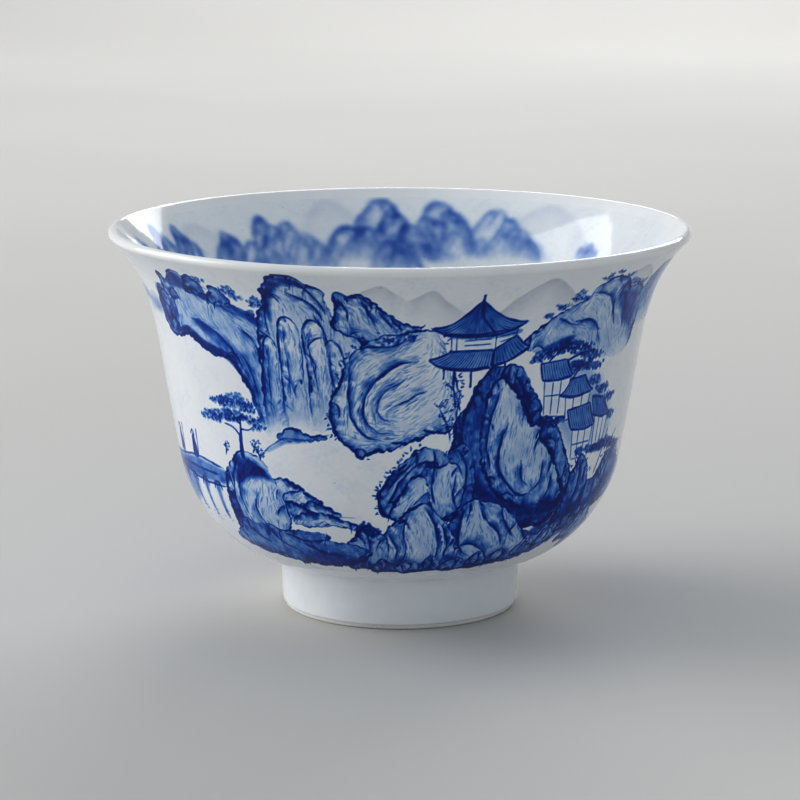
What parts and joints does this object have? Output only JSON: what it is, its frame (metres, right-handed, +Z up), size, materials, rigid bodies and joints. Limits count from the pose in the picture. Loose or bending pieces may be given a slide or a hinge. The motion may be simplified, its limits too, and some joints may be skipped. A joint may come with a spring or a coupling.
{
  "type": "tea cup",
  "caption": "Flared porcelain tea cup on a foot ring, with a cobalt landscape painted under clear glaze, outside and under the mouth inside.",
  "frame": {"origin": "on the cup's axis at the level of the bearing edge of the foot", "axes": "+Z up along the axis of the cup; -Y towards the side that carries the pavilion"},
  "size_m": [0.085, 0.085, 0.0566],
  "materials": {
    "biscuit": "fired white clay under the glaze",
    "bare_foot": "bare fired clay, fine and matt",
    "cobalt": "underglaze cobalt brushwork",
    "pale_cobalt": "underglaze cobalt washes, paler than outside",
    "clear_glaze": "clear, faintly blue glaze with a high gloss",
    "rim_glaze": "clear glaze, thin and warm white over the lip",
    "foot_glaze": "clear glaze, slightly thicker where it pools"
  },
  "bodies": {
    "root": {"porcelain_bowl": "biscuit", "foot_ring": "bare_foot", "outer_painting": "cobalt", "inner_painting": "pale_cobalt", "outer_glaze": "clear_glaze", "inner_glaze": "clear_glaze", "lip_glaze": "rim_glaze", "foot_ring_glaze": "foot_glaze", "foot_well_glaze": "foot_glaze"}
  },
  "joints": []
}
